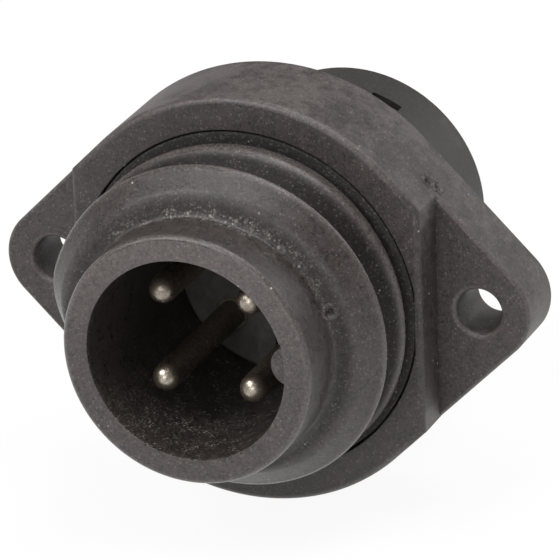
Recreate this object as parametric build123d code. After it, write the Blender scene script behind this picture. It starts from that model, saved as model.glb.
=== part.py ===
from build123d import *
from math import cos, radians, sin
import os

# A flanged panel plug with three line pins and one earth pin. Millimetres.
# The mating axis is Y and the open front faces -Y. The ears lie along X and Z is up.
# The origin is the middle of the flange's rear face, which seats on the panel.

# How far a cut or a joined piece runs past the face that it crosses
past = 1.0

# Edges nearer than this to a plane lie in it
same_place = 0.01

# Flange
hole_spacing = 47.0
hole_radius = 2.4
hole_lead_in = 0.6
drum_radius = 22.1
drum_thickness = 11.1
drum_edge = 0.7
waist_half = 19.1
ear_thickness = 6.5
ear_end_radius = 5.5
ear_edge = 0.4

# Front collar, with the coarse coupling thread on it
front_reach = 27.2
collar_radius = 13.4
collar_edge = 0.65
bore_radius = 10.65
bore_lead_in = 0.2
flare_start = 21.8
flare_length = 2.4
core_radius = 15.6
crest_radius = 17.95
thread_pitch = 5.1
thread_lead = 17.5
thread_first_angle = 212.0
thread_last_angle = -440.0
run_in_angle = 50.0
run_out_angle = 40.0
section_angle = 16.0

# The thread's section: places along the axis from its lead line, and heights
thread_root_radius = 12.9
thread_end_rise = 0.3
front_foot_reach = 3.3
front_edge_reach = 2.6
front_edge_rise = 0.15
crest_front_reach = 0.85
crest_front_drop = 0.45
crest_top_reach = 0.25
crest_rear_reach = 0.2
crest_rear_drop = 0.35
rear_foot_reach = 1.8

# Key rib in the bore, a half-round ridge
rib_angle = 3.0
rib_radius = 2.2
rib_height = 1.7
rib_setback = 0.8

# Seal ring round the foot of the thread
seal_width = 2.7
seal_thickness = 1.75
seal_gap = 0.15
seal_recess = 0.05
seal_edge = 0.15

# Rear barrel
barrel_radius = 14.3
barrel_length = 20.4
barrel_wall = 2.0
barrel_edge = 0.3
window_end = 15.4

# Contact carrier
carrier_face = 4.0
ledge_depth = 1.0
carrier_thickness = 6.0
carrier_gap = 0.1
carrier_edge = 0.3
divider_width = 2.0
divider_height = 2.2
divider_gap = 1.0
barrier_thickness = 1.6
barrier_length = 10.0
barrier_gap = 0.2
latch_angle = 67.0
latch_width = 3.0
latch_thickness = 1.0
latch_reach = 1.5
latch_nose = 2.3
latch_nose_flat = 0.9
latch_play = 0.2

# Contacts
pin_circle_radius = 6.75
pin_radius = 1.45
pin_setback = 4.75
pin_gap = 0.05
shoulder_radius = 1.75
stem_start = 2.0
stem_radius = 2.4
terminal_radius = 3.0
terminal_length = 10.0
terminal_edge = 0.3
wire_radius = 1.4
wire_depth = 8.0
wire_lead_in = 0.4

# Terminal screws
screw_radius = 1.45
screw_length = 3.6
screw_edge = 0.15
screw_gap = 0.05
screw_place = 7.55
screw_point_radius = 1.1
screw_point_length = 0.9
slot_width = 0.5
slot_depth = 0.7

pin_angles = {
    "contact_pin_1": 135.0,
    "contact_pin_2": 45.0,
    "contact_pin_3": 225.0,
    "earth_pin": 315.0,
}
screw_names = {
    "contact_pin_1": "terminal_screw_1",
    "contact_pin_2": "terminal_screw_2",
    "contact_pin_3": "terminal_screw_3",
    "earth_pin": "earth_terminal_screw",
}

# Worked out from the sizes above
barrel_inner = barrel_radius - barrel_wall
seal_inner_radius = core_radius + seal_gap
seal_outer_radius = seal_inner_radius + seal_width
seat_radius = seal_outer_radius + seal_gap
seat_depth = seal_thickness + seal_recess
seat_floor = drum_thickness - seat_depth
carrier_radius = barrel_inner - carrier_gap
carrier_rear = carrier_thickness - ledge_depth
terminal_front = carrier_rear + pin_gap
terminal_rear = terminal_front + terminal_length
screw_y = terminal_front + screw_place


def turned(points):
    """A solid of revolution about the Y axis, from (radius, y) corners."""
    return revolve(make_face(Polyline(*points, close=True)), Axis.Y)


def radial_plane(angle, y=0.0):
    """A plane that holds the Y axis: its x is the radius at that angle, its y runs along Y."""
    outward = Vector(cos(radians(angle)), 0, sin(radians(angle)))
    return Plane(origin=(0, y, 0), x_dir=outward, z_dir=outward.cross(Vector(0, 1, 0)))


def tangential_box(angle, inner, outer, width, y_front, y_rear):
    """A block that runs outward along one radius."""
    middle = Pos((inner + outer) / 2, (y_front + y_rear) / 2)
    shape = middle * Rectangle(outer - inner, y_rear - y_front)
    return extrude(radial_plane(angle) * shape, width / 2, both=True)


def flange_outline():
    """The drum's circle joined by tangents to the two round ear ends."""
    shape = Circle(drum_radius)
    for side in (1, -1):
        shape += Pos(side * hole_spacing / 2, 0) * Circle(ear_end_radius)
    return make_hull(shape.edges())


def lies_flat_at(edge, y):
    """True for an edge that lies in the plane at that y."""
    return abs(edge.center().Y - y) < same_place and edge.bounding_box().size.Y < same_place


def flange():
    """The thick middle and the two thinner ears, with the steps between them."""
    outline = Plane.XZ * flange_outline()
    ears = extrude(outline, ear_thickness)
    ears = fillet([e for e in ears.edges() if lies_flat_at(e, -ear_thickness)], ear_edge)
    middle = extrude(outline, drum_thickness)
    middle &= Pos(0, -drum_thickness / 2, 0) * Box(2 * waist_half, drum_thickness, 4 * drum_radius)
    body = ears + middle
    return fillet([e for e in body.edges() if lies_flat_at(e, -drum_thickness)], drum_edge)


def thread_section(angle, height):
    """One section of the thread's ridge: a long front flank, a round crest and a steep rear flank.

    Its height above the root is scaled by a share of 0 to 1, which lets the ends sink in.
    """
    lead = -thread_lead - thread_pitch * angle / 360

    def at(radius, along):
        return thread_root_radius + (radius - thread_root_radius) * height, lead + along

    front_foot = at(thread_root_radius, -front_foot_reach)
    front_edge = at(core_radius + front_edge_rise, -front_edge_reach)
    crest_front = at(crest_radius - crest_front_drop, -crest_front_reach)
    crest_top = at(crest_radius, -crest_top_reach)
    crest_rear = at(crest_radius - crest_rear_drop, crest_rear_reach)
    rear_foot = at(thread_root_radius, rear_foot_reach)
    outline = Polyline(crest_rear, rear_foot, front_foot, front_edge, crest_front)
    outline += ThreePointArc(crest_front, crest_top, crest_rear)
    return radial_plane(angle) * make_face(outline)


def ease(share):
    """A smooth rise from 0 to 1."""
    share = min(max(share, 0.0), 1.0)
    return share * share * (3 - 2 * share)


def thread():
    """The right-hand ridge, which rises out of the collar and sinks back before the flange."""
    turn = thread_first_angle - thread_last_angle
    count = round(turn / section_angle)
    lowest = thread_end_rise / (crest_radius - thread_root_radius)
    sections = []
    for index in range(count + 1):
        angle = thread_first_angle - turn * index / count
        run_in = ease((thread_first_angle - angle) / run_in_angle)
        run_out = ease((angle - thread_last_angle) / run_out_angle)
        sections.append(thread_section(angle, lowest + (1 - lowest) * min(run_in, run_out)))
    return loft(sections)


def collar():
    """The front tube, its flare and the plain core under the thread."""
    flare_end = (core_radius, flare_length - flare_start)
    rim_front = (collar_radius - collar_edge, -front_reach)
    rim_side = (collar_radius, collar_edge - front_reach)
    flare_foot = (collar_radius, -flare_start)
    outline = Polyline(flare_end, (core_radius, 0), (0, 0), (0, -front_reach), rim_front)
    outline += RadiusArc(rim_front, rim_side, -collar_edge)
    outline += Line(rim_side, flare_foot)
    outline += TangentArc(flare_foot, flare_end, tangent=(0, 1))
    return revolve(make_face(outline), Axis.Y)


def barrel():
    """The plain round body behind the flange."""
    edge = barrel_edge
    return turned([(0, 0), (barrel_radius, 0), (barrel_radius, barrel_length - edge),
                   (barrel_radius - edge, barrel_length), (0, barrel_length)])


def housing_hollow():
    """The bore for the mating plug and the wider room for the carrier."""
    front, rear = -front_reach - past, barrel_length + past
    return turned([(0, front), (bore_radius + bore_lead_in + past, front),
                   (bore_radius, bore_lead_in - front_reach), (bore_radius, -ledge_depth),
                   (barrel_inner, -ledge_depth), (barrel_inner, rear), (0, rear)])


def seal_seat():
    """The recess for the seal ring, which also ends the thread."""
    return turned([(core_radius, -drum_thickness), (seat_radius, -drum_thickness),
                   (seat_radius, -seat_floor), (core_radius, -seat_floor)])


def flange_hole(x):
    """One screw hole, with a rounded lead-in at the front."""
    wall_end = (hole_radius, hole_lead_in - ear_thickness)
    lip = (hole_radius + hole_lead_in, -ear_thickness)
    outside = -ear_thickness - past
    outline = Polyline(wall_end, (hole_radius, past), (0, past), (0, outside), (lip[0], outside), lip)
    outline += TangentArc(wall_end, lip, tangent=(0, -1))
    return Pos(x, 0, 0) * revolve(make_face(outline), Axis.Y)


def round_rib(radius, y_front, y_rear):
    """A round bar along the bore's wall, in the key rib's place."""
    middle = bore_radius - rib_height + rib_radius
    bar = Rot(90, 0, 0) * Cylinder(radius, y_rear - y_front)
    return Rot(0, -rib_angle, 0) * Pos(middle, (y_front + y_rear) / 2, 0) * bar


def key_rib():
    """The rib in the bore that lets the mating plug in one way round only."""
    return round_rib(rib_radius, rib_setback - front_reach, -ledge_depth)


def latch_window(angle):
    """The slot through the barrel that a carrier latch snaps into."""
    width = latch_width + 2 * latch_play
    front = window_end - latch_nose - 2 * latch_play
    return tangential_box(angle, barrel_inner - past, barrel_radius + past, width, front, window_end)


def housing():
    """The one-piece moulded body."""
    body = flange() + collar() + barrel() + thread()
    body -= seal_seat()
    body -= housing_hollow()
    body += key_rib()
    for side in (1, -1):
        body -= flange_hole(side * hole_spacing / 2)
    for turn in (0, 180):
        body -= latch_window(latch_angle + turn)
    return body


def face_seal():
    """The flat rubber ring that the coupling ring closes on."""
    inner, outer = seal_inner_radius, seal_outer_radius
    front = -(seat_floor + seal_thickness)
    return turned([(inner, -seat_floor), (outer, -seat_floor), (outer, front + seal_edge),
                   (outer - seal_edge, front), (inner + seal_edge, front), (inner, front + seal_edge)])


def on_pin_circle(angle):
    """The place of one contact's axis."""
    return Pos(pin_circle_radius * cos(radians(angle)), 0, pin_circle_radius * sin(radians(angle)))


def carrier_hole(angle):
    """The stepped hole that holds one contact."""
    thin, wide = shoulder_radius + pin_gap, stem_radius + pin_gap
    front, rear = -carrier_face - past, carrier_rear + past
    points = [(0, front), (thin, front), (thin, -stem_start), (wide, -stem_start), (wide, rear), (0, rear)]
    return on_pin_circle(angle) * turned(points)


def latch(angle):
    """A springy arm with a nose that is ramped towards the front."""
    outer = carrier_radius
    inner = outer - latch_thickness
    start = carrier_rear - past
    rear = window_end - latch_play
    outline = Polyline((inner, start), (outer, start), (outer, rear - latch_nose),
                       (outer + latch_reach, rear - latch_nose_flat), (outer + latch_reach, rear),
                       (inner, rear), close=True)
    return extrude(radial_plane(angle) * make_face(outline), latch_width / 2, both=True)


def divider():
    """The low upright rib on the carrier's face, between the contacts."""
    width = 2 * (bore_radius - carrier_gap - divider_gap)
    place = Pos(0, (past - divider_height) / 2 - carrier_face, 0)
    return place * Box(divider_width, divider_height + past, width)


def barrier(angle):
    """One wall that keeps neighbouring terminals apart."""
    place = Pos(0, carrier_rear + (barrier_length - past) / 2, 0)
    width = 2 * (carrier_radius - barrier_gap)
    return Rot(0, angle, 0) * place * Box(width, barrier_length + past, barrier_thickness)


def contact_carrier():
    """The insulating carrier: a plug in the bore, a disc on the ledge and a cross between the terminals."""
    plug = bore_radius - carrier_gap
    edge = carrier_edge
    seat = carrier_gap / 2 - ledge_depth
    body = turned([(0, -carrier_face), (plug - edge, -carrier_face), (plug, edge - carrier_face),
                   (plug, seat), (carrier_radius - edge, seat), (carrier_radius, seat + edge),
                   (carrier_radius, carrier_rear - edge), (carrier_radius - edge, carrier_rear),
                   (0, carrier_rear)])
    body += divider()
    body -= round_rib(rib_radius + carrier_gap, -carrier_face - past, seat)
    for angle in (0, 90):
        body += barrier(angle)
    for turn in (0, 180):
        body += latch(latch_angle + turn)
    for angle in pin_angles.values():
        body -= carrier_hole(angle)
    return body


def contact_body():
    """A turned pin with a round tip, a stepped stem in the carrier and a plain terminal behind it."""
    tip = pin_setback - front_reach
    tip_foot = (pin_radius, tip + pin_radius)
    step = pin_gap - stem_start
    edge = terminal_edge
    outline = RadiusArc((0, tip), tip_foot, -pin_radius)
    outline += Polyline(
        tip_foot, (pin_radius, -carrier_face),
        (shoulder_radius, -carrier_face), (shoulder_radius, step),
        (stem_radius, step), (stem_radius, terminal_front),
        (terminal_radius - edge, terminal_front), (terminal_radius, terminal_front + edge),
        (terminal_radius, terminal_rear - edge), (terminal_radius - edge, terminal_rear),
        (0, terminal_rear), (0, tip))
    return revolve(make_face(outline), Axis.Y)


def wire_hole():
    """The blind hole for the wire, with a lead-in at its mouth."""
    return turned([(0, terminal_rear - wire_depth), (wire_radius, terminal_rear - wire_depth),
                   (wire_radius, terminal_rear - wire_lead_in),
                   (wire_radius + wire_lead_in + past, terminal_rear + past), (0, terminal_rear + past)])


def screw_bore(angle):
    """The cross hole for the clamp screw, from the contact's axis outwards."""
    shape = Cylinder(screw_radius + screw_gap, terminal_radius + past,
                     align=(Align.CENTER, Align.CENTER, Align.MIN))
    return radial_plane(angle, screw_y) * Pos(pin_circle_radius, 0, 0) * Rot(0, 90, 0) * shape


def contact(angle):
    """One contact in its place."""
    return on_pin_circle(angle) * (contact_body() - wire_hole()) - screw_bore(angle)


def terminal_screw(angle):
    """A slotted headless clamp screw with a plain point, backed out so that the wire hole is open."""
    start = pin_circle_radius + wire_radius + screw_gap
    edge = screw_edge
    body = turned([(0, 0), (screw_point_radius - edge, 0), (screw_point_radius, edge),
                   (screw_point_radius, screw_point_length), (screw_radius, screw_point_length + edge),
                   (screw_radius, screw_length - edge), (screw_radius - edge, screw_length),
                   (0, screw_length)])
    body -= Pos(0, screw_length, 0) * Box(2 * (screw_radius + past), 2 * slot_depth, slot_width)
    return radial_plane(angle, screw_y) * Pos(start, 0, 0) * Rot(0, 0, -90) * body


parts = {
    "housing": housing(),
    "face_seal": face_seal(),
    "contact_carrier": contact_carrier(),
}
for pin_name, pin_angle in pin_angles.items():
    parts[pin_name] = contact(pin_angle)
    parts[screw_names[pin_name]] = terminal_screw(pin_angle)

os.makedirs("parts", exist_ok=True)
for name, shape in parts.items():
    shape.label = name
    export_step(shape, f"parts/{name}.step")
    print(name, "solids", len(shape.solids()), "volume", round(shape.volume, 2))
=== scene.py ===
"""Looks for the panel plug: meshes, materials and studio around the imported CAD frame."""
import math
import types

import bmesh
import bpy
import numpy as np
from mathutils import Matrix, Vector, noise
from mathutils.geometry import delaunay_2d_cdt, intersect_point_line


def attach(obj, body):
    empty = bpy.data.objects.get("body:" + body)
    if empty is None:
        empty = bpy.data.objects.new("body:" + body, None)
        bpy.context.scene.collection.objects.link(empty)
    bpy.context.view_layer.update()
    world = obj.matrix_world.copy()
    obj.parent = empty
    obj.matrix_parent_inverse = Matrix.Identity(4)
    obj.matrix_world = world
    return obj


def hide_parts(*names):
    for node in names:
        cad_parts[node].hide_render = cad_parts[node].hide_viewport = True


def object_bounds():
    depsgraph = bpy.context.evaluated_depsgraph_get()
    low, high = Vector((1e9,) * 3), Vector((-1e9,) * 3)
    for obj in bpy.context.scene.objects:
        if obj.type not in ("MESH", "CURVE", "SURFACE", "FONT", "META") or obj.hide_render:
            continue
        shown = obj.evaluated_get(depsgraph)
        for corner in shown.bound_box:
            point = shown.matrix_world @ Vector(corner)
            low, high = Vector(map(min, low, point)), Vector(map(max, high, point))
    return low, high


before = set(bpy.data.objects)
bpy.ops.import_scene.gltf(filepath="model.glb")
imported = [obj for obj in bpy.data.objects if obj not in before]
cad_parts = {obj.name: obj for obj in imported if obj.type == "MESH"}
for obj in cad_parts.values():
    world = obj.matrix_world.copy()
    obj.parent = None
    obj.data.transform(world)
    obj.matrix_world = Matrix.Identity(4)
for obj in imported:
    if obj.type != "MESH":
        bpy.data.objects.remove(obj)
CAD_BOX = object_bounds()

bl_info = {
    "name": "Panel plug",
    "version": (1, 0, 0),
    "blender": (4, 5, 0),
    "location": "View3D > Sidebar > Panel plug",
    "description": "Builds the panel plug's visual meshes, materials and studio",
    "category": "Object",
}

MM = 0.001
# Columns of the round pieces' meshes, and their turns from +X in radians
COLUMNS = 384
TURNS = np.linspace(0, 2 * math.pi, COLUMNS, endpoint=False)
# Distance between the rows of the thread's mesh, and the width of the mean that rounds them, in mm
ROW_STEP, ROW_ROUNDING = 0.11, 0.18
# Steps of a rounded edge, and of the finer ones round the seal and the barrel's end
ROUNDING_STEPS, FINE_STEPS = 6, 4
# The triangulation's kind of output that ends at the outline
FILL_INSIDE = 1

# Where the thread starts and ends, and over how much it rises and sinks, in degrees from +X
THREAD_START, THREAD_END = 212, -440
THREAD_RUN_IN, THREAD_RUN_OUT = 50, 40
# The crest's greatest extra width in mm, where it is, and how far it fades to each side, in degrees
LAND_WIDTH, LAND_MIDDLE, LAND_REACH = 1.1, -290, 75
# Sharpness of the soft maximum, which gives the valleys a root radius of about 0.2 mm
VALLEY_SHARPNESS = 14
# Middle of the key rib, and of each latch window, in degrees from +X
RIB_ANGLE = 3
WINDOW_ANGLES = (67, 247)

# Knocks that the housing has taken: place, radius, depth and height of the lip, in mm. Two are by the
# right ear's root and one is at the foot of the thread; the rest are nicks in the collar's mouth
HOUSING_DENTS = (
    ((18.0, -5.5, 13.25), 0.55, 0.5, 0.15),
    ((18.8, -5.0, 12.47), 0.55, 0.45, 0.13),
    ((13.2, -20.85, 4.5), 0.6, 0.4, 0.12),
    ((10.25, -27.2, 2.95), 0.3, 0.22, 0.0),
    ((5.6, -27.2, -9.1), 0.28, 0.2, 0.0),
    ((-4.6, -27.2, -9.7), 0.25, 0.18, 0.0),
)
# How many of them are darkened inside and have a pale lip
DARKENED_DENTS = 3
# Where the barrel's end is chafed, in mm
CHAFED_SPOTS = ((10.5, 19.1, 9.8), (11.4, 18.8, 8.7), (11.9, 18.6, 7.9))

# The studio's soft boxes, which all face the plug: place, width, depth and watts
LAMPS = {
    "key": ((-0.38, -0.53, 0.62), 0.4, 0.4, 3.9),
    "overhead": ((0.15, 0.0, 0.88), 0.9, 0.2, 5.1),
    "front": ((0.05, -0.86, 0.25), 0.4, 0.4, 1.5),
    "back": ((0.55, 0.62, 0.42), 0.5, 0.5, 1.8),
}
# Strength of the light from all round, and half the floor's width in metres
ROOM_LIGHT = 0.33
FLOOR_REACH = 3.0


def linear(code):
    """A colour written as sRGB hex, as linear red, green and blue."""
    shares = [int(code[i:i + 2], 16) / 255 for i in (0, 2, 4)]
    return tuple(s / 12.92 if s <= 0.04045 else ((s + 0.055) / 1.055) ** 2.4 for s in shares)


def length(name, description, millimetres):
    """A size in the sidebar, in metres."""
    return bpy.props.FloatProperty(name=name, description=description, default=millimetres * MM,
                                   subtype="DISTANCE", unit="LENGTH", precision=5)


def tint(name, description, code):
    """A colour in the sidebar."""
    return bpy.props.FloatVectorProperty(name=name, description=description, default=linear(code),
                                         subtype="COLOR", size=3, min=0.0, max=1.0)


class PlugSizes(bpy.types.PropertyGroup):
    """Sizes of the moulded housing and of the face seal."""
    hole_spacing: length("Ear hole spacing", "Distance between the two ear holes", 47.0)
    hole_radius: length("Ear hole radius", "Radius of the ear holes", 2.4)
    hole_lead_in: length("Ear hole lead-in", "Rounding at the front of the ear holes", 0.6)
    drum_radius: length("Drum radius", "Radius of the flange's thick middle", 22.1)
    drum_thickness: length("Drum thickness", "Thickness of the flange's middle", 11.1)
    drum_edge: length("Drum edge", "Rounding of the drum's front edge", 0.7)
    waist_half: length("Step distance", "Distance of the step walls from the middle", 19.1)
    ear_thickness: length("Ear thickness", "Thickness of the two ears", 6.5)
    ear_end_radius: length("Ear end radius", "Radius of the round ear ends", 5.5)
    ear_edge: length("Ear edge", "Rounding of the ears' front edge", 0.4)
    front_reach: length("Front reach", "Distance of the collar's front from the panel", 27.2)
    collar_radius: length("Collar radius", "Outer radius of the plain collar", 13.4)
    collar_edge: length("Collar edge", "Rounding of the collar's rim", 0.65)
    bore_radius: length("Bore radius", "Inner radius of the collar", 10.65)
    bore_lead_in: length("Bore lead-in", "Chamfer at the mouth of the bore", 0.2)
    flare_start: length("Flare start", "Where the collar begins to flare", 21.8)
    flare_length: length("Flare length", "Length of the flare", 2.4)
    core_radius: length("Core radius", "Radius under the thread", 15.6)
    crest_radius: length("Crest radius", "Outer radius of the thread", 17.95)
    root_radius: length("Thread root radius", "Where the thread's flanks would meet", 12.9)
    end_rise: length("Thread end rise", "Height of the thread's sunk ends", 0.3)
    pitch: length("Thread pitch", "Advance of the thread in one turn", 5.1)
    lead: length("Thread lead", "Where the thread crosses the +X side", 17.5)
    rib_radius: length("Key rib radius", "Radius of the half-round key rib", 2.2)
    rib_height: length("Key rib height", "Height of the key rib over the bore", 1.7)
    rib_setback: length("Key rib setback", "Distance of the key rib behind the rim", 0.8)
    seat_radius: length("Seal seat radius", "Outer radius of the seal's recess", 18.6)
    seat_floor: length("Seal seat floor", "Distance of the recess's floor from the panel", 9.3)
    barrel_radius: length("Barrel radius", "Outer radius of the rear barrel", 14.3)
    barrel_length: length("Barrel length", "Length of the rear barrel", 20.4)
    barrel_inner: length("Barrel inner radius", "Inner radius of the rear barrel", 12.3)
    barrel_edge: length("Barrel edge", "Rounding of the barrel's end", 0.3)
    ledge_depth: length("Ledge depth", "Where the bore widens for the carrier", 1.0)
    window_front: length("Latch window front", "Front end of the latch windows", 12.7)
    window_end: length("Latch window end", "Rear end of the latch windows", 15.4)
    window_width: length("Latch window width", "Width of the latch windows", 3.4)
    seal_front: length("Seal front", "Distance of the seal's front from the panel", 11.05)
    seal_gap: length("Seal gap", "Gap between the seal and the walls of its recess", 0.15)
    seal_edge: length("Seal edge", "Rounding of the seal's front edges", 0.22)


class PlugColours(bpy.types.PropertyGroup):
    """Colours of the plug's finishes."""
    nylon_dark: tint("Nylon, dark", "The darker mottle of the moulded housing", "1C1A18")
    nylon_light: tint("Nylon, light", "The lighter mottle of the moulded housing", "3F3836")
    # The worn colour also paints light: the rim's face grows lighter towards its top, and rounded edges and
    # thread crests carry painted highlights
    nylon_worn_and_lit: tint("Nylon, worn", "Rubbed places of the housing", "67605E")
    # The grime colour also paints shade in the thread's valleys, where each turn's shadow falls, and on the
    # flare's concave wall
    grime_and_shade: tint("Grime", "Dark dirt in dents and in the thread's valleys", "141211")
    dust: tint("Dust", "Specks of dust and lint", "D2CDC6")
    rubber: tint("Rubber", "The face seal", "1C1918")
    rubber_bloom: tint("Rubber, bloom", "The sooty bloom on the face seal", "2C2826")
    carrier: tint("Carrier", "The contact carrier's nylon", "3A3633")
    carrier_dusty: tint("Carrier, dusty", "Fine dust on the contact carrier", "4E4A45")
    plating: tint("Plating", "The contacts' silver plating", "D2CABC")
    plating_dull: tint("Plating, dull", "Scuffed patches of the plating", "97897A")
    tarnish: tint("Tarnish", "The brown film on the plating", "4A4036")
    steel: tint("Steel", "The zinc-plated terminal screws", "B9B9B4")
    steel_dull: tint("Steel, dull", "Cloudy patches of the zinc plating", "8F908C")
    floor: tint("Floor", "The studio floor", "F6F6F6")
    floor_pale: tint("Floor, pale", "The floor's paler mottle", "FAFAFA")


class PlugView(bpy.types.PropertyGroup):
    """Where the camera stands."""
    azimuth: bpy.props.FloatProperty(name="Azimuth", description="Camera angle round the plug",
                                     default=math.radians(23.02), subtype="ANGLE", unit="ROTATION")
    elevation: bpy.props.FloatProperty(name="Elevation", description="Camera angle above the plug",
                                       default=math.radians(22.52), subtype="ANGLE", unit="ROTATION")
    roll: bpy.props.FloatProperty(name="Roll", description="Camera roll",
                                  default=math.radians(-2.069), subtype="ANGLE", unit="ROTATION")
    distance: length("Distance", "Camera distance along its own axis", 573.392)
    aside: length("Aside", "Camera shift to its right", -0.775)
    above: length("Above", "Camera shift upwards", -1.835)
    lens: bpy.props.FloatProperty(name="Lens", description="Focal length", default=355.5,
                                  subtype="DISTANCE_CAMERA")


def add_node(tree, kind, inputs=None, **settings):
    """Adds a node, sets its options, and sets or links its inputs."""
    node = tree.nodes.new(kind)
    for name, value in settings.items():
        setattr(node, name, value)
    for key, value in (inputs or {}).items():
        if isinstance(value, bpy.types.NodeSocket):
            tree.links.new(value, node.inputs[key])
        else:
            node.inputs[key].default_value = value
    return node


def opaque(colour):
    """A colour with full alpha."""
    return (*colour, 1.0)


def new_material(name):
    """An empty node material and its tree."""
    material = bpy.data.materials.new(name)
    material.use_nodes = True
    material.node_tree.nodes.clear()
    return material, material.node_tree


def close_material(tree, shader):
    """Ends a material in the shader that it shows."""
    add_node(tree, "ShaderNodeOutputMaterial", {"Surface": shader})


def object_place(tree):
    """The place on the plug, in metres, which doesn't move when the plug does."""
    return add_node(tree, "ShaderNodeTexCoord").outputs["Object"]


def ramp(tree, value, low, high, to_low=0.0, to_high=1.0):
    """A value carried from one range to another, and held at its ends."""
    return add_node(tree, "ShaderNodeMapRange", {"Value": value, "From Min": low, "From Max": high,
                                                 "To Min": to_low, "To Max": to_high}).outputs["Result"]


def maths(tree, operation, *values):
    """One sum on values or sockets."""
    return add_node(tree, "ShaderNodeMath", dict(enumerate(values)), operation=operation).outputs[0]


def chain(tree, operation, first, *others):
    """The same sum on any number of values or sockets, from left to right."""
    for other in others:
        first = maths(tree, operation, first, other)
    return first


def blend(tree, share, first, second):
    """One colour laid over another."""
    colours = [c if isinstance(c, bpy.types.NodeSocket) else opaque(c) for c in (first, second)]
    mix = add_node(tree, "ShaderNodeMix", {0: share, 6: colours[0], 7: colours[1]}, data_type="RGBA")
    return mix.outputs[2]


def cloud(tree, place, width, detail=5.0, roughness=0.6):
    """Fractal noise whose largest patches are that many millimetres wide."""
    return add_node(tree, "ShaderNodeTexNoise", {"Vector": place, "Scale": 1 / (width * MM), "Detail": detail,
                                                 "Roughness": roughness}).outputs["Fac"]


def specks(tree, place, spacing, radius):
    """Round specks of uneven strength, with their spacing and radius in millimetres."""
    cells = add_node(tree, "ShaderNodeTexVoronoi", {"Vector": place, "Scale": 1 / (spacing * MM)})
    dots = ramp(tree, cells.outputs["Distance"], radius / spacing, 0.5 * radius / spacing)
    luck = add_node(tree, "ShaderNodeSeparateColor", {0: cells.outputs["Color"]}).outputs[0]
    return maths(tree, "MULTIPLY", dots, maths(tree, "POWER", luck, 2.0))


def near(tree, place, middle, inner, outer):
    """1 within the inner distance of a point and 0 beyond the outer one, in millimetres."""
    middle = tuple(c * MM for c in middle)
    away = add_node(tree, "ShaderNodeVectorMath", {0: place, 1: middle}, operation="DISTANCE")
    return ramp(tree, away.outputs["Value"], outer * MM, inner * MM)


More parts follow.
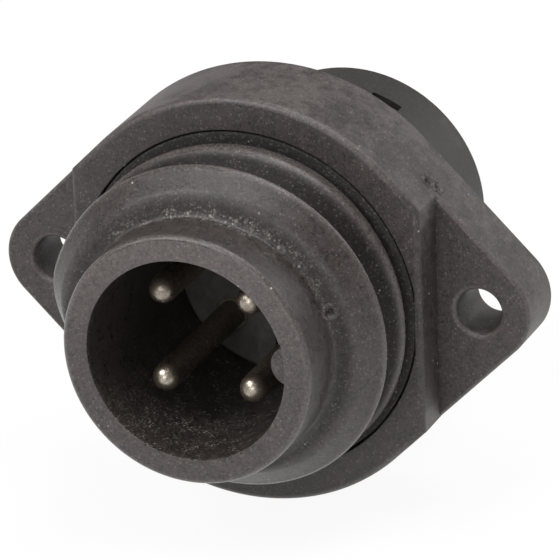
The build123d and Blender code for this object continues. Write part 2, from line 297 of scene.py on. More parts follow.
def moulded_nylon():
    """Glass-filled nylon 66, injection moulded and used.

    Mottled brown-black skin, glossier where the mating plug rubs it, with scuffs, dents, lint and dust, and
    with painted highlights on its rim, edges and crests and painted shade in the thread's valleys.
    """
    colours = bpy.context.scene.plug_colours
    material, tree = new_material("moulded_glass_filled_nylon")
    place = object_place(tree)
    axes = add_node(tree, "ShaderNodeSeparateXYZ", {0: place}).outputs
    mottle = cloud(tree, place, 1.3, 7.0, 0.9)
    grain = cloud(tree, place, 0.3, 3.0, 0.9)
    smears = cloud(tree, place, 7.0, 3.0)
    skin = blend(tree, ramp(tree, mottle, 0.41, 0.59), colours.nylon_dark, colours.nylon_light)
    skin = blend(tree, ramp(tree, grain, 0.44, 0.62, 0.0, 0.95), skin, colours.nylon_light)
    skin = blend(tree, ramp(tree, grain, 0.46, 0.36, 0.0, 0.6), skin, colours.nylon_dark)

    # The rim's face is rubbed lighter, and grows lighter towards its top as a painted gradient of light. The
    # rounded edges and the thread's crests are rubbed lighter, with painted highlights along them
    rim = chain(tree, "MULTIPLY", ramp(tree, axes["Y"], -26.95 * MM, -27.15 * MM),
                ramp(tree, axes["Z"], -2 * MM, 11 * MM, 0.1, 0.42), ramp(tree, grain, 0.4, 0.6, 0.6, 1.3))
    wear_and_painted_light = add_node(tree, "ShaderNodeAttribute", attribute_name="wear_and_painted_light").outputs["Fac"]
    edges = maths(tree, "MULTIPLY", ramp(tree, wear_and_painted_light, 0.0, 1.0), ramp(tree, grain, 0.35, 0.65, 0.15, 0.6))
    # The flange's round side is chafed in fine streaks
    reach = maths(tree, "SQRT", maths(tree, "ADD", maths(tree, "POWER", axes["X"], 2.0),
                                      maths(tree, "POWER", axes["Z"], 2.0)))
    normal = add_node(tree, "ShaderNodeTexCoord").outputs["Normal"]
    facing = add_node(tree, "ShaderNodeSeparateXYZ", {0: normal}).outputs["Y"]
    streaks = ramp(tree, maths(tree, "MULTIPLY", smears, mottle), 0.19, 0.3, 0.0, 0.45)
    scuffs = chain(tree, "MULTIPLY", streaks, ramp(tree, reach, 21.3 * MM, 21.7 * MM),
                   ramp(tree, maths(tree, "ABSOLUTE", facing), 0.6, 0.2))
    for mark in (rim, edges, scuffs):
        skin = blend(tree, mark, skin, colours.nylon_worn_and_lit)
    # Painted shade: the grime colour darkens the valley in the shadow of each thread turn, and the flare's
    # concave wall
    painted_shade_mask = ramp(tree, wear_and_painted_light, 0.0, -1.0, 0.0, 0.62)
    skin = blend(tree, painted_shade_mask, skin, colours.grime_and_shade)

    # The dents are darkened inside and have pale lips round them, and the barrel has a chafed spot
    knocks = [(near(tree, place, p, 0.5 * r, r), near(tree, place, p, r, 1.6 * r))
              for p, r, *_ in HOUSING_DENTS[:DARKENED_DENTS]]
    pit, lip = (chain(tree, "MAXIMUM", *marks) for marks in zip(*knocks))
    chafed = chain(tree, "MAXIMUM", *(near(tree, place, p, 0.2, 1.1) for p in CHAFED_SPOTS))
    chafed = maths(tree, "MULTIPLY", chafed, ramp(tree, grain, 0.42, 0.6, 0.0, 0.7))
    lip = maths(tree, "MULTIPLY", lip, ramp(tree, grain, 0.4, 0.55, 0.2, 0.9))
    skin = blend(tree, lip, skin, colours.nylon_worn_and_lit)
    skin = blend(tree, chafed, skin, colours.nylon_worn_and_lit)
    skin = blend(tree, maths(tree, "MULTIPLY", pit, 0.85), skin, colours.grime_and_shade)

    # A dark hairline runs just inside the rim's outer edge, over its top
    inside_edge = maths(tree, "ABSOLUTE", maths(tree, "SUBTRACT", reach, 12.95 * MM))
    hairline = chain(tree, "MULTIPLY", ramp(tree, inside_edge, 0.09 * MM, 0.02 * MM),
                     ramp(tree, axes["Z"], 8 * MM, 11 * MM),
                     ramp(tree, axes["Y"], -26.9 * MM, -27.0 * MM, 0.0, 0.9), ramp(tree, mottle, 0.45, 0.55))
    skin = blend(tree, hairline, skin, colours.grime_and_shade)

    # Dust lies along the top of the flare, in the bottom of the bore, and thinly everywhere
    flare = chain(tree, "MULTIPLY",
                  ramp(tree, axes["Y"], -23.5 * MM, -22.0 * MM), ramp(tree, reach, 15.2 * MM, 14.0 * MM),
                  ramp(tree, axes["Y"], -19.0 * MM, -20.5 * MM), ramp(tree, axes["Z"], 2 * MM, 11 * MM),
                  ramp(tree, reach, 12 * MM, 13 * MM))
    bore = maths(tree, "MULTIPLY", ramp(tree, reach, 10.75 * MM, 10.7 * MM),
                 ramp(tree, axes["Z"], -3 * MM, -9 * MM))
    patchy = ramp(tree, cloud(tree, place, 1.8, 3.0), 0.42, 0.62, 0.1, 1.0)
    fluff = maths(tree, "MAXIMUM", specks(tree, place, 0.25, 0.14),
                  maths(tree, "MULTIPLY", specks(tree, place, 0.55, 0.26), flare))
    thick = chain(tree, "MULTIPLY", maths(tree, "ADD", flare, bore), patchy, fluff)
    thin = maths(tree, "MULTIPLY", specks(tree, place, 1.6, 0.14), ramp(tree, smears, 0.45, 0.6, 0.1, 0.8))
    skin = blend(tree, maths(tree, "MULTIPLY", thick, 0.5), skin, colours.dust)
    fines = maths(tree, "MULTIPLY", specks(tree, place, 0.3, 0.14), ramp(tree, mottle, 0.4, 0.6, 0.03, 0.15))
    skin = blend(tree, maths(tree, "MAXIMUM", thin, fines), skin, colours.dust)

    # The barrel, behind the flange, is made darker
    skin = blend(tree, ramp(tree, axes["Y"], 0.2 * MM, 0.6 * MM, 0.0, 0.65), skin, colours.nylon_dark)

    rubbed = ramp(tree, axes["Y"], -11.5 * MM, -15 * MM, 0.0, -0.18)
    gloss = maths(tree, "ADD", ramp(tree, mottle, 0.35, 0.65, 0.42, 0.54), rubbed)
    gloss = maths(tree, "ADD", gloss, maths(tree, "MULTIPLY", painted_shade_mask, 0.2))
    gloss = maths(tree, "SUBTRACT", gloss, ramp(tree, wear_and_painted_light, 0.3, 1.0, 0.0, 0.16))
    height = maths(tree, "ADD", maths(tree, "MULTIPLY", grain, 0.35), mottle)
    relief = add_node(tree, "ShaderNodeBump", {"Height": height, "Distance": 0.08 * MM, "Strength": 0.7})
    shader = add_node(tree, "ShaderNodeBsdfPrincipled", {
        "Base Color": skin, "Roughness": gloss, "IOR": 1.53, "Normal": relief.outputs["Normal"],
        "Specular IOR Level": ramp(tree, painted_shade_mask, 0.0, 0.62, 0.5, 0.15)})
    close_material(tree, shader.outputs["BSDF"])
    return material


def seal_rubber():
    """Black nitrile rubber, compression moulded: dull, with a faint sooty mottle and a little lint."""
    colours = bpy.context.scene.plug_colours
    material, tree = new_material("nitrile_rubber")
    place = object_place(tree)
    bloom = cloud(tree, place, 0.9, 6.0, 0.85)
    skin = blend(tree, ramp(tree, bloom, 0.42, 0.6), colours.rubber, colours.rubber_bloom)
    lint = maths(tree, "MAXIMUM", maths(tree, "MULTIPLY", specks(tree, place, 0.9, 0.12), 0.4),
                 maths(tree, "MULTIPLY", specks(tree, place, 0.3, 0.14), 0.12))
    skin = blend(tree, lint, skin, colours.dust)
    relief = add_node(tree, "ShaderNodeBump", {"Height": bloom, "Distance": 0.1 * MM, "Strength": 0.8})
    shader = add_node(tree, "ShaderNodeBsdfPrincipled", {
        "Base Color": skin, "Roughness": 0.82, "IOR": 1.52, "Normal": relief.outputs["Normal"]})
    close_material(tree, shader.outputs["BSDF"])
    return material


def carrier_nylon():
    """Plain nylon 6, injection moulded: smoother than the housing, dulled by fine dust."""
    colours = bpy.context.scene.plug_colours
    material, tree = new_material("moulded_nylon_insulator")
    place = object_place(tree)
    patches = cloud(tree, place, 1.4, 5.0, 0.7)
    skin = blend(tree, ramp(tree, patches, 0.35, 0.65), colours.carrier, colours.carrier_dusty)
    relief = add_node(tree, "ShaderNodeBump", {"Height": patches, "Distance": 0.03 * MM, "Strength": 0.5})
    shader = add_node(tree, "ShaderNodeBsdfPrincipled", {
        "Base Color": skin, "Roughness": 0.5, "IOR": 1.53, "Normal": relief.outputs["Normal"]})
    close_material(tree, shader.outputs["BSDF"])
    return material


def silver_plate():
    """Silver plate on turned brass.

    Warm grey metal, scuffed by the mating sockets and tarnished brown in patches.
    """
    colours = bpy.context.scene.plug_colours
    material, tree = new_material("silver_plated_brass")
    place = object_place(tree)
    patches = cloud(tree, place, 1.1, 6.0, 0.8)
    # Turning marks are 0.05 mm apart and are drawn 0.25 mm apart, as close as shows
    along = add_node(tree, "ShaderNodeVectorMath", {0: place, 1: (0.2, 1.0, 0.2)}, operation="MULTIPLY")
    marks = cloud(tree, along.outputs[0], 0.25, 2.0)
    metal = blend(tree, ramp(tree, patches, 0.35, 0.65), colours.plating, colours.plating_dull)
    gloss = ramp(tree, patches, 0.35, 0.65, 0.2, 0.45)
    height = maths(tree, "ADD", marks, maths(tree, "MULTIPLY", patches, 2.0))
    relief = add_node(tree, "ShaderNodeBump", {"Height": height, "Distance": 0.03 * MM, "Strength": 0.6})
    bare = add_node(tree, "ShaderNodeBsdfPrincipled", {
        "Base Color": metal, "Metallic": 1.0, "Roughness": gloss, "Normal": relief.outputs["Normal"]})
    film = add_node(tree, "ShaderNodeBsdfPrincipled", {
        "Base Color": opaque(colours.tarnish), "Roughness": 0.5, "Normal": relief.outputs["Normal"]})
    # The brown film is also laid on more thickly towards the carrier, as painted shade that deepens into the
    # bore
    depth = add_node(tree, "ShaderNodeSeparateXYZ", {0: place}).outputs["Y"]
    share = maths(tree, "ADD", ramp(tree, patches, 0.35, 0.7, 0.15, 0.6),
                  ramp(tree, depth, -21 * MM, -8 * MM, 0.0, 0.5))
    share = ramp(tree, share, 0.0, 1.0)
    mixed = add_node(tree, "ShaderNodeMixShader", {0: share, 1: bare.outputs[0], 2: film.outputs[0]})
    close_material(tree, mixed.outputs[0])
    return material


def zinc_plate():
    """Zinc plate on steel: cool grey metal, a little cloudy."""
    colours = bpy.context.scene.plug_colours
    material, tree = new_material("zinc_plated_steel")
    place = object_place(tree)
    patches = cloud(tree, place, 0.6, 4.0)
    metal = blend(tree, ramp(tree, patches, 0.35, 0.65), colours.steel, colours.steel_dull)
    gloss = ramp(tree, patches, 0.3, 0.7, 0.28, 0.42)
    relief = add_node(tree, "ShaderNodeBump", {"Height": patches, "Distance": 0.01 * MM, "Strength": 0.4})
    shader = add_node(tree, "ShaderNodeBsdfPrincipled", {
        "Base Color": metal, "Metallic": 1.0, "Roughness": gloss, "Normal": relief.outputs["Normal"]})
    close_material(tree, shader.outputs["BSDF"])
    return material


def seen_directly(tree):
    """1 for camera, glossy and transmission rays, else 0."""
    path = add_node(tree, "ShaderNodeLightPath")
    rays = (path.outputs[name] for name in ("Is Camera Ray", "Is Glossy Ray", "Is Transmission Ray"))
    return chain(tree, "MAXIMUM", *rays)


def pale_floor():
    """Matt white laminate: nearly white, and it keeps a faint soft shadow."""
    colours = bpy.context.scene.plug_colours
    material, tree = new_material("matt_white_laminate")
    mottle = cloud(tree, object_place(tree), 30, 2.0, 0.5)
    matt = add_node(tree, "ShaderNodeBsdfDiffuse", {
        "Color": blend(tree, mottle, colours.floor, colours.floor_pale)})
    white = add_node(tree, "ShaderNodeEmission", {"Strength": 1.0})
    share = maths(tree, "MULTIPLY", seen_directly(tree), 0.93)
    mixed = add_node(tree, "ShaderNodeMixShader", {0: share, 1: matt.outputs[0], 2: white.outputs[0]})
    close_material(tree, mixed.outputs[0])
    return material


def assign(obj, material):
    """Gives an object one material."""
    obj.data.materials.clear()
    obj.data.materials.append(material)


def dress(nodes, material):
    """Gives CAD nodes one material."""
    for name in nodes:
        assign(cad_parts[name], material)


def in_millimetres(group):
    """The sizes of a property group, in millimetres."""
    return types.SimpleNamespace(**{name: getattr(group, name) / MM for name in group.__annotations__})


class Shell:
    """Vertices and faces of a mesh that is put together from rings, in millimetres."""

    def __init__(self):
        self.points = []
        self.wear_and_painted_light = []
        self.faces = []

    def row(self, points, wear_and_painted_light=0.0):
        """Adds points with their wear, which is rubbing and painted highlight where above 0 and painted shade
        where below 0, and gives their numbers.
        """
        start = len(self.points)
        self.points.extend(points)
        self.wear_and_painted_light.extend(np.broadcast_to(wear_and_painted_light, len(points)).tolist())
        return list(range(start, len(self.points)))

    def ring(self, radius, y, turns=None, wear_and_painted_light=0.0, middle=(0.0, 0.0)):
        """Adds a circle about the mating axis or a parallel one. The radius may change on the way round."""
        turns = TURNS if turns is None else turns
        radii = np.broadcast_to(radius, len(turns))
        points = np.column_stack((middle[0] + radii * np.cos(turns), np.full(len(turns), y),
                                  middle[1] + radii * np.sin(turns)))
        return self.row(points.tolist(), wear_and_painted_light)

    def bridge(self, a, b, closed=True, skip=()):
        """Joins two rows by four-sided faces."""
        count = len(a)
        for i in range(count if closed else count - 1):
            if i not in skip:
                j = (i + 1) % count
                self.faces.append((a[i], a[j], b[j], b[i]))

    def loft(self, rows, closed=True):
        """Joins each row to the next."""
        for a, b in zip(rows, rows[1:]):
            self.bridge(a, b, closed)

    def fill(self, outline, holes, y):
        """Fills a flat face between an outline and its round holes, all loops of (x, z) points."""
        flat, edges, owner = [], [], []
        for number, loop in enumerate((outline, *holes)):
            start = len(flat)
            flat.extend(Vector(p) for p in loop)
            edges.extend((start + i, start + (i + 1) % len(loop)) for i in range(len(loop)))
            owner.extend([number] * len(loop))
        points, _, triangles, sources, _, _ = delaunay_2d_cdt(flat, edges, [], FILL_INSIDE, 1e-6)
        numbers = self.row([(p.x, y, p.y) for p in points])
        for triangle in triangles:
            owners = {owner[sources[i][0]] if sources[i] else 0 for i in triangle}
            if len(owners) > 1 or owners == {0}:
                self.faces.append(tuple(numbers[i] for i in triangle))

    def piece(self, name, material, crease=35, dents=()):
        """The finished mesh object, in metres, with smooth faces between its creases."""
        mesh = bpy.data.meshes.new(name)
        mesh.from_pydata([[c * MM for c in p] for p in self.points], [], self.faces)
        # The attribute carries the rubbing, painted highlights and painted shade to the material
        mesh.attributes.new("wear_and_painted_light", "FLOAT", "POINT").data.foreach_set("value", self.wear_and_painted_light)
        work = bmesh.new()
        work.from_mesh(mesh)
        bmesh.ops.remove_doubles(work, verts=work.verts, dist=0.002 * MM)
        bmesh.ops.recalc_face_normals(work, faces=work.faces)
        for dent in dents:
            press_dent(work, *dent)
        work.to_mesh(mesh)
        work.free()
        mesh.shade_smooth()
        mesh.set_sharp_from_angle(angle=math.radians(crease))
        obj = bpy.data.objects.new(name, mesh)
        bpy.context.scene.collection.objects.link(obj)
        # Keeps the flat faces flat in the light, up to their roundings
        obj.modifiers.new("weighted_normals", "WEIGHTED_NORMAL").keep_sharp = True
        assign(obj, material)
        return obj


def gap_to_edge(point, edge):
    """Distance from a point to an edge."""
    a, b = (v.co for v in edge.verts)
    foot, share = intersect_point_line(point, a, b)
    return (point - (foot if 0 < share < 1 else a if share <= 0 else b)).length


def each_once(items):
    """The items in their order, without repeats."""
    return list(dict.fromkeys(items))


def press_dent(work, middle, radius, depth, lip):
    """Refines a bmesh round a point and presses a ragged dent into it, with a raised lip. Millimetres."""
    middle, radius = Vector(middle) * MM, radius * MM
    reach, fine = 1.6 * radius, 0.18 * radius
    edges = work.edges
    while coarse := [e for e in edges if e.calc_length() > fine and gap_to_edge(middle, e) < reach]:
        verts = [v for e in coarse for v in e.verts]
        cut = bmesh.ops.subdivide_edges(work, edges=coarse, cuts=1, use_grid_fill=True)
        verts.extend(part for part in cut["geom_inner"] if isinstance(part, bmesh.types.BMVert))
        verts = each_once(v for v in verts if v.is_valid)
        wide = each_once(f for v in verts for f in v.link_faces if len(f.verts) > 4)
        inner = bmesh.ops.triangulate(work, faces=wide)["edges"]
        edges = each_once([*(e for v in verts for e in v.link_edges), *inner])
    work.normal_update()
    moves = []
    for vert in work.verts:
        away = (vert.co - middle).length / radius
        if away < 2:
            away *= 1 + 0.25 * noise.noise(vert.co / (0.4 * MM))
            bowl = (1 - min(away, 1) ** 2) ** 2
            ridge = math.sin(2 * math.pi * (min(max(away, 1), 1.5) - 1))
            moves.append((vert, vert.normal * (lip * ridge - depth * bowl) * MM))
    for vert, move in moves:
        vert.co += move


def ease(share):
    """A smooth rise from 0 to 1."""
    share = np.clip(share, 0, 1)
    return share * share * (3 - 2 * share)


def collar_profile(s, y):
    """Radius of the collar, its flare and the core, without the thread."""
    # The flare is an arc that leaves the collar along the axis
    rise = s.core_radius - s.collar_radius
    arc = (s.flare_length ** 2 + rise ** 2) / (2 * rise)
    run = np.clip(y + s.flare_start, 0, s.flare_length)
    return s.collar_radius + arc - np.sqrt(arc ** 2 - run ** 2)


def ridge_profile(s, along, land):
    """Radius of the thread's ridge at a distance from its lead line.

    It has a long front flank, a round crest and a steep rear flank. The land is the crest's extra width
    towards the flange.
    """
    places = [-3.3, -2.6, -0.95, -0.6, -0.25, 0.0, 0.25, 0.4, 1.9]
    drops = [0.0, 0.0, 0.62, 0.22, 0.03, 0.0, 0.2, 0.5, 0.0]
    radii = [s.crest_radius - drop for drop in drops]
    radii[0] = radii[-1] = s.root_radius
    radii[1] = s.core_radius + 0.15
    behind = np.where(along > 0, np.clip(along - land, 0, None), along)
    return np.interp(behind, places, radii, left=0, right=0)


def lead_line(s, angle):
    """Place along the axis of the thread's ridge at an angle."""
    return -s.lead - s.pitch * angle / 360


def thread_surface(s, ys):
    """Radius of collar and thread for each row and column, with the moulding's soft edges."""
    degrees = np.degrees(TURNS)[None, :]
    y = np.asarray(ys)[:, None]
    sharp = np.broadcast_to(collar_profile(s, y), (len(ys), COLUMNS))
    stack = [sharp]
    lowest = s.end_rise / (s.crest_radius - s.root_radius)
    for turn in (0, -360, -720):
        angle = degrees + turn
        risen = np.minimum(ease((THREAD_START - angle) / THREAD_RUN_IN),
                           ease((angle - THREAD_END) / THREAD_RUN_OUT))
        height = lowest + (1 - lowest) * risen
        # The crest is widest at the top of its last turn
        land = LAND_WIDTH * ease(1 - np.abs(angle - LAND_MIDDLE) / LAND_REACH)
        ridge = ridge_profile(s, y - lead_line(s, angle), land)
        ridge = s.root_radius + (ridge - s.root_radius) * height
        stack.append(np.where((angle <= THREAD_START) & (angle >= THREAD_END), ridge, 0))
    highest = np.max(stack, axis=0)
    total = sum(np.exp(VALLEY_SHARPNESS * (layer - highest)) for layer in stack)
    return highest + np.log(total) / VALLEY_SHARPNESS


def thread_wear_and_painted_light(s, ys, radii):
    """How much the thread is rubbed and painted: 1 on its crests, which are rubbed and carry painted
    highlights, and less than 0 where painted shade lies, in the shadow that each turn casts on the valley
    behind it and on the flare's concave wall.
    """
    degrees = np.degrees(TURNS)[None, :]
    y = np.asarray(ys)[:, None]
    # The painted shadow fades in with the ridge's height over its run-in
    run_in = ease((THREAD_START - degrees) / THREAD_RUN_IN)
    crest_shadows = (ease((y - lead_line(s, angle) - 0.2) / 0.5) * share
               for angle, share in ((degrees, run_in), (degrees - 360, 1.0)))
    behind = np.maximum(*crest_shadows)
    deep = ease((s.crest_radius - 0.15 - radii) / 0.7)
    flare = ease((s.core_radius - 0.1 - radii) / 0.8) * ease((radii - s.collar_radius - 0.1) / 0.4)
    return ease((radii - s.crest_radius + 0.5) / 0.4) - behind * deep - 0.6 * flare


def soften(rows, step, width):
    """Rounds edges along the axis: a running mean over neighbouring rows."""
    reach = int(3 * width / step)
    weights = np.exp(-0.5 * (np.arange(-reach, reach + 1) * step / width) ** 2)
    padded = np.pad(rows, ((reach, reach), (0, 0)), mode="edge")
    total = sum(w * padded[i:i + len(rows)] for i, w in enumerate(weights))
    return total / weights.sum()


def build_front(shell, s):
    """The bore with its key rib, the rim, the collar and the thread, down to the seal's seat.

    Gives the bore's first row.
    """
    rib_middle = s.bore_radius - s.rib_height + s.rib_radius
    off = np.angle(np.exp(1j * (TURNS - math.radians(RIB_ANGLE))))
    reach = np.clip(s.rib_radius ** 2 - (rib_middle * np.sin(off)) ** 2, 0, None)
    rib = np.where((reach > 0) & (np.cos(off) > 0), rib_middle * np.cos(off) - np.sqrt(reach), s.bore_radius)
    ribbed = np.minimum(rib, s.bore_radius)
    front = -s.front_reach
    rib_front = front + s.rib_setback
    rows = [shell.ring(ribbed, -s.ledge_depth), shell.ring(ribbed, rib_front + 0.15)]
    # The rib's front edge is rounded
    rows.append(shell.ring(np.where(ribbed < s.bore_radius, ribbed + 0.05, ribbed), rib_front + 0.04))
    rows.append(shell.ring(np.minimum(ribbed + 0.15, s.bore_radius), rib_front))
    rows.append(shell.ring(s.bore_radius, rib_front))
    rows.append(shell.ring(s.bore_radius, front + s.bore_lead_in))
    rows.append(shell.ring(s.bore_radius + 0.06, front + 0.06))
    rows.append(shell.ring(s.bore_radius + s.bore_lead_in, front))
    rim = s.collar_radius - s.collar_edge
    rows.append(shell.ring((s.bore_radius + rim) / 2, front))
    # The rim's rounded edge is rubbed lighter, with a painted highlight along it
    for turn in np.linspace(0, math.pi / 2, 9):
        radius = rim + s.collar_edge * math.sin(turn)
        y = front + s.collar_edge * (1 - math.cos(turn))
        rows.append(shell.ring(radius, y, wear_and_painted_light=math.sin(2 * turn)))
    ys = np.arange(front + s.collar_edge + ROW_STEP, -s.drum_thickness, ROW_STEP)
    radii = soften(thread_surface(s, ys), ROW_STEP, ROW_ROUNDING)
    # The thread's crests are rubbed and carry painted highlights; painted shade lies in the shadow of each
    # turn and on the flare
    wear_and_painted_light = thread_wear_and_painted_light(s, ys, radii)
    rows.extend(shell.ring(radius, y, wear_and_painted_light=rub_and_light) for radius, y, rub_and_light in zip(radii, ys, wear_and_painted_light))
    rows.append(shell.ring(radii[-1], -s.drum_thickness))
    rows.append(shell.ring(s.core_radius, -s.drum_thickness))
    rows.append(shell.ring(s.core_radius, -s.seat_floor))
    rows.append(shell.ring(s.seat_radius, -s.seat_floor))
    rows.append(shell.ring(s.seat_radius, 0.1 - s.drum_thickness))
    rows.append(shell.ring(s.seat_radius + 0.1, -s.drum_thickness))
    shell.loft(rows)
    return rows[0]


def hull_slope(s):
    """Angle of the tangent between drum and ear, from +X."""
    return math.acos((s.drum_radius - s.ear_end_radius) / (s.hole_spacing / 2))


def tangent_height(s, x, inset):
    """Height of that tangent over the X axis, moved inwards by the inset."""
    slope = hull_slope(s)
    return (s.drum_radius - inset - x * math.cos(slope)) / math.sin(slope)


def drum_arc(s, inset):
    """The top of the drum's outline, from the right step to the left one, as (x, z)."""
    x = s.waist_half - inset
    slope = hull_slope(s)
    radius = s.drum_radius - inset
    arc = [slope + (math.pi - 2 * slope) * i / 60 for i in range(61)]
    return [(x, tangent_height(s, x, inset)), *((radius * math.cos(a), radius * math.sin(a)) for a in arc),
            (-x, tangent_height(s, x, inset))]


def drum_loop(s, inset):
    """The whole outline of the drum, with its two straight sides."""
    top = drum_arc(s, inset)
    return top + [(-x, -z) for x, z in top]


def ear_path(s, side, inset):
    """The outline of one ear, from its top corner at the step round to the bottom one."""
    slope = hull_slope(s)
    radius = s.ear_end_radius - inset
    middle = s.hole_spacing / 2
    arc = [slope * (1 - i / 16) for i in range(33)]
    corner = tangent_height(s, s.waist_half, inset)
    path = [(s.waist_half, corner), *((middle + radius * math.cos(a), radius * math.sin(a)) for a in arc),
            (s.waist_half, -corner)]
    return [(side * x, z) for x, z in path]


def circle(x, radius, count=64):
    """A circle of (x, z) points about a place on the X axis."""
    return [(x + radius * math.cos(2 * math.pi * i / count), radius * math.sin(2 * math.pi * i / count))
            for i in range(count)]


def rounding(radius, steps=ROUNDING_STEPS):
    """Pairs of inset and drop of a rounded edge, from the wall to the face."""
    turns = [math.pi / 2 * i / steps for i in range(steps + 1)]
    return [(radius * (1 - math.cos(t)), radius * (1 - math.sin(t))) for t in turns]


def build_flange(shell, s):
    """The drum, the two ears with their holes, and the flat back."""
    def level(loop, y, wear_and_painted_light=0.0):
        return shell.row([(x, y, z) for x, z in loop], wear_and_painted_light)

    def rounded(loop, y, radius, wear_and_painted_light=1.0):
        return [level(loop(inset), y + drop, wear_and_painted_light * math.sin(math.pi * i / ROUNDING_STEPS))
                for i, (inset, drop) in enumerate(rounding(radius))]

    foot = s.ear_edge - s.ear_thickness
    for turn in (1, -1):
        half = [(turn * x, turn * z) for x, z in drum_arc(s, 0)]
        shell.loft([level(half, 0), level(half, foot)], closed=False)
    face = -s.drum_thickness
    rows = [level(drum_loop(s, 0), foot)]
    # The two ends of each arc, at the steps, are less rubbed and carry less painted highlight
    arc_wear_and_highlight = np.tile([0.0, *[1.0] * (len(drum_arc(s, 0)) - 2), 0.0], 2)
    rows += rounded(lambda inset: drum_loop(s, inset), face, s.drum_edge, arc_wear_and_highlight)
    shell.loft(rows)
    seat = list(zip((s.seat_radius + 0.1) * np.cos(TURNS), (s.seat_radius + 0.1) * np.sin(TURNS)))
    shell.fill(drum_loop(s, s.drum_edge), [seat], face)
    holes = []
    for side in (1, -1):
        rows = [level(ear_path(s, side, 0), 0)]
        rows += rounded(lambda inset: ear_path(s, side, inset), -s.ear_thickness, s.ear_edge)
        shell.loft(rows, closed=False)
        middle = side * s.hole_spacing / 2
        wide = s.hole_radius + s.hole_lead_in
        shell.fill(ear_path(s, side, s.ear_edge), [circle(middle, wide)], -s.ear_thickness)
        rows = [level(circle(middle, s.hole_radius), 0)]
        rows += rounded(lambda inset: circle(middle, s.hole_radius + inset), -s.ear_thickness, s.hole_lead_in)
        shell.loft(rows)
        holes.append(circle(middle, s.hole_radius))
    turns = barrel_columns(s)[0]
    barrel = list(zip(s.barrel_radius * np.cos(turns), s.barrel_radius * np.sin(turns)))
    half = drum_arc(s, 0)
    outline = half[1:-1] + ear_path(s, -1, 0) + [(-x, -z) for x, z in half[1:-1]] + ear_path(s, 1, 0)[::-1]
    shell.fill(outline, [barrel, *holes], 0)


def barrel_columns(s):
    """The turns of the barrel's outer and inner columns, and the columns that its two latch windows take."""
    outer, inner = TURNS.copy(), TURNS.copy()
    skipped, edges = set(), []
    for middle in WINDOW_ANGLES:
        pair = []
        for side in (-1, 1):
            wide = math.radians(middle) + side * math.asin(s.window_width / 2 / s.barrel_radius)
            column = int(np.argmin(np.abs(TURNS - wide)))
            outer[column] = wide
            inner[column] = math.radians(middle) + side * math.asin(s.window_width / 2 / s.barrel_inner)
            pair.append(column)
        skipped.update(range(*pair))
        edges.append(pair)
    return outer, inner, skipped, edges


def build_barrel(shell, s, bore):
    """The rear barrel with its two latch windows, and the ledge inside that ends in the bore's first row."""
    outer, inner, skipped, edges = barrel_columns(s)
    outside = [shell.ring(s.barrel_radius, y, outer) for y in (0, s.window_front, s.window_end)]
    inside = [shell.ring(s.barrel_inner, y, inner) for y in (-s.ledge_depth, s.window_front, s.window_end)]
    for rows in (outside, inside):
        shell.bridge(rows[0], rows[1])
        shell.bridge(rows[1], rows[2], skip=skipped)
    for level in (1, 2):
        for first, last in edges:
            shell.bridge(outside[level][first:last + 1], inside[level][first:last + 1], closed=False)
    for pair in edges:
        for column in pair:
            shell.faces.append((outside[1][column], outside[2][column], inside[2][column], inside[1][column]))
    end = s.barrel_length
    edge = rounding(s.barrel_edge, FINE_STEPS)
    rows = [outside[2]]
    rows += [shell.ring(s.barrel_radius - inset, end - drop) for inset, drop in edge]
    rows += [shell.ring(s.barrel_inner + inset, end - drop) for inset, drop in edge[::-1]]
    rows.append(inside[2])
    shell.loft(rows)
    shell.bridge(inside[0], bore)


def build_seal(shell, s):
    """The flat rubber ring, with its rounded edges and the slight waviness of a soft part."""
    inner, outer = s.core_radius + s.seal_gap, s.seat_radius - s.seal_gap
    wave = 0.02 * np.sin(3 * TURNS + 0.6) + 0.012 * np.sin(7 * TURNS)
    edge = rounding(s.seal_edge, FINE_STEPS)
    rows = [shell.ring(inner, -s.seat_floor)]
    rows += [shell.ring(inner + inset, drop - s.seal_front) for inset, drop in edge]
    outer_edge = outer + np.minimum(wave, 0)
    rows += [shell.ring(outer_edge - inset, drop - s.seal_front) for inset, drop in edge[::-1]]
    rows.append(shell.ring(outer, -s.seat_floor))
    shell.loft(rows + rows[:1])


class PLUG_OT_housing(bpy.types.Operator):
    """Builds the moulded housing"""
    bl_idname = "plug.housing"
    bl_label = "Housing"

    def execute(self, context):
        sizes = in_millimetres(context.scene.plug_sizes)
        shell = Shell()
        bore = build_front(shell, sizes)
        build_flange(shell, sizes)
        build_barrel(shell, sizes, bore)
        piece = shell.piece("housing_moulding", moulded_nylon(), dents=HOUSING_DENTS)
        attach(piece, "body")
        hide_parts("housing")
        return {"FINISHED"}


class PLUG_OT_seal(bpy.types.Operator):
    """Builds the face seal"""
    bl_idname = "plug.seal"
    bl_label = "Face seal"

    def execute(self, context):
        shell = Shell()
        build_seal(shell, in_millimetres(context.scene.plug_sizes))
        piece = shell.piece("seal_ring", seal_rubber())
        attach(piece, "body")
        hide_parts("face_seal")
        return {"FINISHED"}


class PLUG_OT_carrier(bpy.types.Operator):
    """Gives the contact carrier its material"""
    bl_idname = "plug.carrier"
    bl_label = "Contact carrier"

    def execute(self, context):
        dress(["contact_carrier"], carrier_nylon())
        return {"FINISHED"}


class PLUG_OT_contacts(bpy.types.Operator):
    """Gives the three line contacts and the earth contact their material"""
    bl_idname = "plug.contacts"
    bl_label = "Contacts"

    def execute(self, context):
        dress(["contact_pin_1", "contact_pin_2", "contact_pin_3", "earth_pin"], silver_plate())
        return {"FINISHED"}


class PLUG_OT_screws(bpy.types.Operator):
    """Gives the terminal screws their material"""
    bl_idname = "plug.screws"
    bl_label = "Terminal screws"

    def execute(self, context):
        dress(["terminal_screw_1", "terminal_screw_2", "terminal_screw_3", "earth_terminal_screw"],
              zinc_plate())
        return {"FINISHED"}


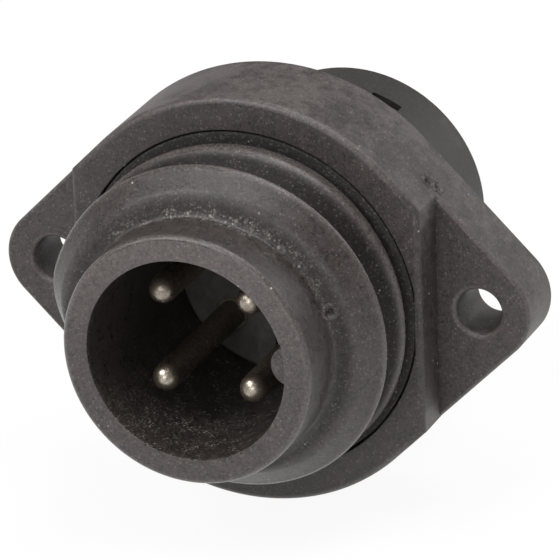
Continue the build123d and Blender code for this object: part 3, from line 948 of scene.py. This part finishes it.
def place_camera(view):
    """The camera, where the photograph was taken from."""
    sin_a, cos_a = math.sin(view.azimuth), math.cos(view.azimuth)
    sin_e, cos_e = math.sin(view.elevation), math.cos(view.elevation)
    back = Vector((sin_a * cos_e, -cos_a * cos_e, sin_e))
    level = Vector((cos_a, sin_a, 0))
    upright = back.cross(level)
    right = level * math.cos(view.roll) + upright * math.sin(view.roll)
    up = upright * math.cos(view.roll) - level * math.sin(view.roll)
    data = bpy.data.cameras.new("camera")
    data.lens = view.lens
    data.sensor_width = 36
    data.clip_start = 0.01
    data.clip_end = 20
    camera = bpy.data.objects.new("camera", data)
    bpy.context.scene.collection.objects.link(camera)
    turn = Matrix((right, up, back)).transposed().to_4x4()
    turn.translation = back * view.distance + right * view.aside + up * view.above
    camera.matrix_world = turn
    bpy.context.scene.camera = camera


def add_lamp(name, place, width, depth, watts):
    """A soft box that faces the plug."""
    data = bpy.data.lights.new(name, "AREA")
    data.shape = "RECTANGLE"
    data.size = width
    data.size_y = depth
    data.energy = watts
    lamp = bpy.data.objects.new(name, data)
    bpy.context.scene.collection.objects.link(lamp)
    lamp.location = place
    lamp.rotation_euler = (-Vector(place)).to_track_quat("-Z", "Y").to_euler()


class PLUG_OT_stage(bpy.types.Operator):
    """Sets up the camera, the floor and the studio light"""
    bl_idname = "plug.stage"
    bl_label = "Stage"

    def execute(self, context):
        scene = context.scene
        place_camera(scene.plug_view)
        low = CAD_BOX[0][2]
        mesh = bpy.data.meshes.new("floor")
        sides = ((-1, -1), (1, -1), (1, 1), (-1, 1))
        mesh.from_pydata([(FLOOR_REACH * x, FLOOR_REACH * y, low) for x, y in sides], [], [(0, 1, 2, 3)])
        floor = bpy.data.objects.new("floor", mesh)
        scene.collection.objects.link(floor)
        assign(floor, pale_floor())
        for name, lamp in LAMPS.items():
            add_lamp(name, *lamp)
        world = bpy.data.worlds.new("studio")
        world.use_nodes = True
        tree = world.node_tree
        tree.nodes.clear()
        light = add_node(tree, "ShaderNodeBackground", {"Color": (1, 1, 1, 1), "Strength": ROOM_LIGHT})
        white = add_node(tree, "ShaderNodeBackground", {"Color": (1, 1, 1, 1), "Strength": 1.0})
        camera_ray = add_node(tree, "ShaderNodeLightPath").outputs["Is Camera Ray"]
        mixed = add_node(tree, "ShaderNodeMixShader", {0: camera_ray, 1: light.outputs[0],
                                                       2: white.outputs[0]})
        add_node(tree, "ShaderNodeOutputWorld", {"Surface": mixed.outputs[0]})
        scene.world = world
        scene.view_settings.view_transform = "Standard"
        return {"FINISHED"}


class PLUG_PT_sidebar(bpy.types.Panel):
    """The plug's sizes, colours and steps"""
    bl_idname = "PLUG_PT_sidebar"
    bl_label = "Panel plug"
    bl_space_type = "VIEW_3D"
    bl_region_type = "UI"
    bl_category = "Panel plug"

    def draw(self, context):
        layout = self.layout
        for group in (getattr(context.scene, name) for name in GROUPS):
            for name in group.__annotations__:
                layout.prop(group, name)
        for step in STEPS:
            layout.operator(step.bl_idname)


GROUPS = {"plug_sizes": PlugSizes, "plug_colours": PlugColours, "plug_view": PlugView}
STEPS = (PLUG_OT_housing, PLUG_OT_seal, PLUG_OT_carrier, PLUG_OT_contacts, PLUG_OT_screws, PLUG_OT_stage)
CLASSES = (*GROUPS.values(), *STEPS, PLUG_PT_sidebar)


def register():
    for cls in CLASSES:
        bpy.utils.register_class(cls)
    for name, cls in GROUPS.items():
        setattr(bpy.types.Scene, name, bpy.props.PointerProperty(type=cls))


def unregister():
    for name in GROUPS:
        delattr(bpy.types.Scene, name)
    for cls in reversed(CLASSES):
        bpy.utils.unregister_class(cls)


def main():
    register()
    for step in STEPS:
        family, name = step.bl_idname.split(".")
        getattr(getattr(bpy.ops, family), name)()


if __name__ == "__main__":
    main()
